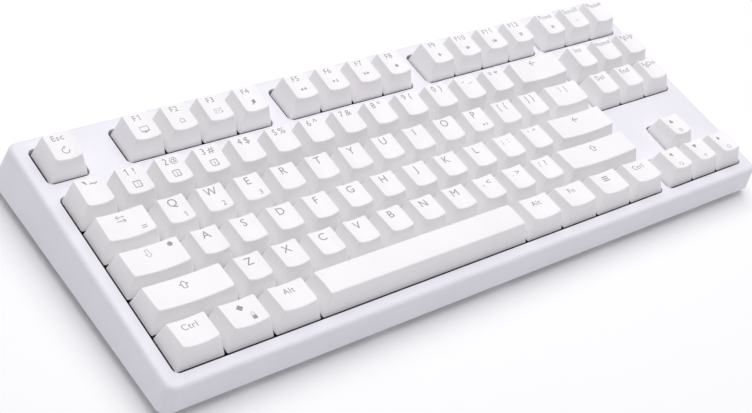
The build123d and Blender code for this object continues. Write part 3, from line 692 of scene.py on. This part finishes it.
# other marks: text, x, y and height
SYMBOLS = {
    "grave": [("`", -2.0, NUMBER_Y - 2.4, 9.0), ("~", 1.7, NUMBER_Y - 0.2, 4.6)],
    "tab": [("⇆", -0.9, TAB_Y - 0.8, 4.2), ("=", 6.5, -2.6, 3.4)],
    "caps_lock": [("⇩", -1.5, HOME_Y - 0.7, 4.2), ("●", 9.2, 4.6, 2.3)],
    "left_shift": [("⇧", -0.8, SHIFT_Y - 0.7, 4.2)],
    "right_shift": [("⇧", -0.8, SHIFT_Y - 0.7, 4.2)],
    "enter": [("←", -0.8, HOME_Y - 0.3, 3.6)],
    "backspace": [("←", -0.8, NUMBER_Y - 0.5, 3.4)],
    "left_win": [("◆", -0.3, BOTTOM_Y - 0.2, 3.4), ("■", 3.0, -2.8, 1.9),
                 ("∩", 3.0, -0.9, 1.7)],
    "menu": [("☰", 0.2, BOTTOM_Y - 0.3, 3.0)],
    "up": [("▲", -0.6, 3.9, 2.6), ("☼", 0.4, -3.2, 2.8)],
    "down": [("▼", -0.6, 3.9, 2.6), ("☼", 0.4, -3.2, 2.2)],
    "left": [("◀", -0.6, 3.9, 2.6), ("○", 0.4, -3.2, 2.4)],
    "right": [("▶", -0.6, 3.9, 2.6), ("○", 0.4, -3.2, 2.4)],
    "esc": [("↻", *ICON_AT, 4.4)],
    "print": [("▦", 0.3, -1.6, 2.0)],
    "scroll": [("▭", 0.3, -1.6, 1.2)],
    "p": [("▶▮", 2.4, -2.6, 1.7)],
}


def legends():
    """Key -> the marks printed on it."""
    marks = {name: [] for name in KEYS}
    for pairs, y in ((PAIRS, NUMBER_Y), (TAB_PAIRS, TAB_Y), (HOME_PAIRS, HOME_Y),
                     (SHIFT_PAIRS, SHIFT_Y)):
        for name, (left, right) in pairs.items():
            height = AT_SIGN if right == "@" else MARK
            marks[name] += [(left, PAIR_LEFT, y, MARK), (right, PAIR_RIGHT, y, height)]
    for name, (word, y) in WORDS.items():
        marks[name].append((word, 0.0, y, WORD))
    for row, y in (("qwertyuiop", TAB_Y), ("asdfghjkl", HOME_Y), ("zxcvbnm", SHIFT_Y)):
        for name in row:
            marks[name].append((name.upper(), 0.0, y, LETTER))
    for number, (icon, height) in enumerate(FUNCTION_ICONS, 1):
        label = f"F{number}".replace("1", ONE)
        marks[f"f{number}"] += [(label, 0.0, NUMBER_Y, WORD), (icon, *ICON_AT, height)]
    for digit, letter, text in (("1", "q", ONE), ("2", "w", "2"), ("3", "e", "3")):
        marks[digit] += [("▢", *BOX_AT, BOX), (text, *BOX_AT, IN_BOX)]
        marks[letter].append((text, *CORNER_AT, IN_CORNER))
    for name, symbols in SYMBOLS.items():
        marks[name] += symbols
    return marks


CAPITAL = 0.73                  # height of a capital in ems
INK_UP, INK_DOWN = 0.04, 0.08   # how far the ink stands out of the cap and reaches into it
FACET, FACET_SHIFT = 0.8, 0.37  # ink is cut in steps of this to follow the dish; first cut's place


def flat_text(text, x, y, height):
    """Points and faces of a text laid flat, centred on x and y, cut into small facets."""
    curve = bpy.data.curves.new("ink", "FONT")
    curve.body = text
    curve.size = height / CAPITAL
    curve.resolution_u = 3
    curve.space_character = 1.08
    holder = bpy.data.objects.new("ink", curve)
    bpy.context.scene.collection.objects.link(holder)
    graph = bpy.context.evaluated_depsgraph_get()
    flat = bpy.data.meshes.new_from_object(holder.evaluated_get(graph))
    bpy.data.objects.remove(holder)
    shape = bmesh.new()
    shape.from_mesh(flat)
    bpy.data.meshes.remove(flat)
    bmesh.ops.remove_doubles(shape, verts=shape.verts, dist=height * 0.002)
    bmesh.ops.dissolve_degenerate(shape, dist=height * 0.002, edges=shape.edges)
    points = np.array([vertex.co for vertex in shape.verts])
    low, high = points.min(axis=0), points.max(axis=0)
    # letters keep their line; an icon is scaled to the height asked for and centred on it
    is_word = all(ord(letter) < 128 or letter == ONE for letter in text)
    if not is_word:
        scale = height / max(high[1] - low[1], 0.6 * (high[0] - low[0]))
        bmesh.ops.scale(shape, vec=(scale, scale, 1), verts=shape.verts)
        low, high = low * scale, high * scale
    middle_y = (low[1] + high[1]) / 2 if not is_word else height / 2
    bmesh.ops.translate(shape, vec=(x - (low[0] + high[0]) / 2, y - middle_y, 0),
                        verts=shape.verts)
    for axis in (0, 1):
        centre = (x, y)[axis]
        reach = (high - low)[axis] / 2 + FACET
        for step in np.arange(math.floor(-reach / FACET), reach / FACET + 1):
            origin, normal = [0, 0, 0], [0, 0, 0]
            origin[axis], normal[axis] = centre + (step + FACET_SHIFT) * FACET, 1
            cut = shape.verts[:] + shape.edges[:] + shape.faces[:]
            bmesh.ops.bisect_plane(shape, geom=cut, plane_co=origin, plane_no=normal,
                                   dist=height * 0.001)
    shape.verts.index_update()
    points = np.array([vertex.co for vertex in shape.verts])
    faces = []
    for face in shape.faces:
        loop = [vertex.index for vertex in face.verts]
        faces.append(loop if face.normal.z > 0 else loop[::-1])
    shape.free()
    return points, faces


def add_ink(shells, shape, text, x, y, height):
    """A thin closed solid of ink that lies on a cap's top face."""
    points, faces = flat_text(text, x, y, height)
    count = len(points)
    surface = shape.top(points[:, 0], points[:, 1])
    upper, lower = points.copy(), points.copy()
    upper[:, 2], lower[:, 2] = surface + INK_UP, surface - INK_DOWN
    sides = {}
    for face in faces:
        for a, b in zip(face, face[1:] + face[:1]):
            if (b, a) in sides:
                del sides[(b, a)]
            else:
                sides[(a, b)] = True
    solid = list(faces)
    solid += [[count + i for i in reversed(face)] for face in faces]
    solid += [[b, a, count + a, count + b] for a, b in sides]
    shells.add(np.concatenate([upper, lower]), solid)


# ---------------------------------------------------------------- the keys

caps = {}
slider, stab_slider = slider_mesh(), stab_slider_mesh()
stands_for = {}
for name, marks in legends().items():
    x, y, units, row = KEYS[name]
    kind = (units, row, name if name in SPAN else "")
    if kind not in caps:
        caps[kind] = cap_mesh(units, row, kind[2])
    body = BODY[name]
    on_deck = DECK @ Matrix.Translation(Vector((x, y, 0)) * MM)
    on_cap = DECK @ Matrix.Translation(Vector((x, y, CAP_Z)) * MM)
    cap = place(f"cap_{name}", caps[kind], cap_plastic, body, on_cap)
    stem = place(f"slider_{name}", slider, slider_plastic, body, on_deck)
    made = [cap, stem]
    for side, word in ((-1, "left"), (1, "right")):
        if name in SPAN:
            at = on_deck @ Matrix.Translation(Vector((side * SPAN[name], 0, 0)) * MM)
            made.append(place(f"stab_slider_{name}_{word}", stab_slider, stab_plastic, body, at))
    if marks:
        ink, shape = Shells(), CapShape(units, row, name == "space")
        for mark in marks:
            add_ink(ink, shape, *mark)
        place(f"legend_{name}", ink.mesh(f"legend_{name}", 30), legend_ink, body, on_cap)
    stands_for.setdefault(body, []).extend(made)

for body, made in stands_for.items():
    for piece in made:
        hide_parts(body)

# ---------------------------------------------------------------- return springs

SPRING_LOW, SPRING_HIGH, TRAVEL = -10.75, -3.25, 4.0
COIL_R, WIRE_R, TURNS, STEPS = 1.95, 0.2, 6.5, 18
CLOSED = 0.8                    # turns at each end that lie flat


def add_spring(shells, x, y):
    """A coil of wire with closed ends, from the housing's floor to the slider's recess."""
    rings = []
    for turn in np.linspace(0, TURNS, round(TURNS * STEPS) + 1):
        share = min(max((turn - CLOSED) / (TURNS - 2 * CLOSED), 0), 1)
        z = SPRING_LOW + (SPRING_HIGH - SPRING_LOW) * share
        around = 2 * math.pi * turn
        out = np.array([math.cos(around), math.sin(around), 0])
        ring = [out * (COIL_R + WIRE_R * math.cos(a)) + (x, y, z + WIRE_R * math.sin(a))
                for a in np.linspace(0, 2 * math.pi, 8, endpoint=False)]
        rings.append(np.array(ring))
    shells.loft(rings)


spring_steel = drawn_metal("spring_steel", (0.66, 0.66, 0.67), 0.22)
for body in stands_for:
    coils = Shells()
    for name, (x, y, _, _) in KEYS.items():
        if BODY[name] == body:
            add_spring(coils, x, y)
    springs = place(f"springs_{body}", coils.mesh(f"springs_{body}"), spring_steel, "case", DECK)
    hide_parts("switch_springs")
    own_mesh(springs)

# ---------------------------------------------------------------- small extra pieces

PORT_X, PORT_Y, PORT_Z = 115.0, FIELD_D + BOARD_EDGE, BOARD_Z - 3.25   # middle of its mouth
TONGUE_X, TONGUE_Z = 3.36, 0.41                     # half width and half thickness
CONTACTS, CONTACT_STEP, CONTACT_X, CONTACT_Z = 12, 0.5, 0.14, 0.05
tongue, contacts = Shells(), Shells()
bevelled_box(tongue, PORT_X - TONGUE_X, PORT_X + TONGUE_X, PORT_Y - 6.8, PORT_Y - 0.94,
             PORT_Z - TONGUE_Z, PORT_Z + TONGUE_Z, 0.12)
for face in (-1, 1):
    for number in range(CONTACTS):
        x = PORT_X + (number - (CONTACTS - 1) / 2) * CONTACT_STEP
        z = PORT_Z + face * TONGUE_Z
        bevelled_box(contacts, x - CONTACT_X, x + CONTACT_X, PORT_Y - 4.8, PORT_Y - 1.3,
                     z - CONTACT_Z, z + CONTACT_Z, 0.03)
place("port_tongue", tongue.mesh("port_tongue"), switch_plastic, "case", DECK)
place("port_contacts", contacts.mesh("port_contacts"), contact_gold, "case", DECK)

# rubber shoe on the free end of a flip foot: size, inset from the foot's sides, how far it
# stands out, and its rounding
SHOE_L, SHOE_H, SHOE_INSET, SHOE_OUT, SHOE_EDGE = 3.4, 3.3, 3, 0.25, 0.6
for side in ("left", "right"):
    foot_low, foot_high = (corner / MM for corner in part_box(f"{side}_flip_foot"))
    shoe = Shells()
    bevelled_box(shoe, foot_low.x + SHOE_INSET, foot_high.x - SHOE_INSET,
                 foot_low.y - SHOE_OUT, foot_low.y + SHOE_L,
                 foot_low.z - SHOE_OUT, foot_low.z + SHOE_H, SHOE_EDGE)
    place(f"{side}_flip_shoe", shoe.mesh(f"{side}_flip_shoe"), pad_rubber, f"{side}_flip_foot")

# ---------------------------------------------------------------- floor, light and camera

FLOOR = 3                       # half its side, in metres
low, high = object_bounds()
floor_mesh = bpy.data.meshes.new("floor")
floor_corners = [(FLOOR * x, FLOOR * y, 0) for x, y in ((-1, -1), (1, -1), (1, 1), (-1, 1))]
floor_mesh.from_pydata(floor_corners, [], [(0, 1, 2, 3)])
floor = bpy.data.objects.new("floor", floor_mesh)
bpy.context.scene.collection.objects.link(floor)
floor_mesh.materials.append(Nodes("floor_white", (0.99, 0.99, 0.99), 0.9).material)
floor.location.z = low.z

SKY_COLOUR, SKY_LOW, SKY_HIGH = (0.96, 0.95, 1.0, 1), 0.32, 0.59
world = bpy.data.worlds.new("studio")
bpy.context.scene.world = world
world.use_nodes = True
background = world.node_tree.nodes["Background"]
background.inputs["Color"].default_value = SKY_COLOUR
# dimmer towards the horizon, so the gaps between the caps are lit from straight above
toward = world.node_tree.nodes.new("ShaderNodeTexCoord")
split = world.node_tree.nodes.new("ShaderNodeSeparateXYZ")
rise = world.node_tree.nodes.new("ShaderNodeMapRange")
rise.inputs["To Min"].default_value = SKY_LOW
rise.inputs["To Max"].default_value = SKY_HIGH
world.node_tree.links.new(toward.outputs["Generated"], split.inputs[0])
world.node_tree.links.new(split.outputs["Z"], rise.inputs["Value"])
world.node_tree.links.new(rise.outputs[0], background.inputs["Strength"])


LIGHT_AT, LIGHT_SIZE, LIGHT_POWER = Vector((0.15, 0.3, 1.3)), 1.8, 14.3  # m from the middle, m, W
light_data = bpy.data.lights.new("key_light", "AREA")
light_data.shape = "DISK"
light_data.size, light_data.energy = LIGHT_SIZE, LIGHT_POWER
lamp = bpy.data.objects.new("key_light", light_data)
bpy.context.scene.collection.objects.link(lamp)
lamp.location = (low + high) / 2 + LIGHT_AT
lamp.rotation_euler = (-LIGHT_AT).to_track_quat("-Z", "Y").to_euler()

# camera in the deck frame, in millimetres: where it is, what it looks at, its roll in degrees
LENS, SENSOR = 68.94, 36.0
CAMERA_AT, CAMERA_AIM, ROLL = (-248.84, -238.63, 439.47), (131.37, 43.78, 0), 24.43
eye, aim = Vector(CAMERA_AT) * MM, Vector(CAMERA_AIM) * MM
turn = (aim - eye).to_track_quat("-Z", "Y").to_matrix().to_4x4()
roll = Matrix.Rotation(math.radians(ROLL), 4, "Z")
camera_data = bpy.data.cameras.new("camera")
camera_data.lens, camera_data.sensor_width = LENS, SENSOR
camera_data.sensor_fit = "HORIZONTAL"
camera_data.clip_start, camera_data.clip_end = 0.01, 20
camera = bpy.data.objects.new("camera", camera_data)
bpy.context.scene.collection.objects.link(camera)
camera.matrix_world = DECK @ Matrix.Translation(eye) @ turn @ roll
bpy.context.scene.camera = camera

bpy.context.scene.view_settings.view_transform = "Standard"
bpy.context.scene.view_settings.look = "None"
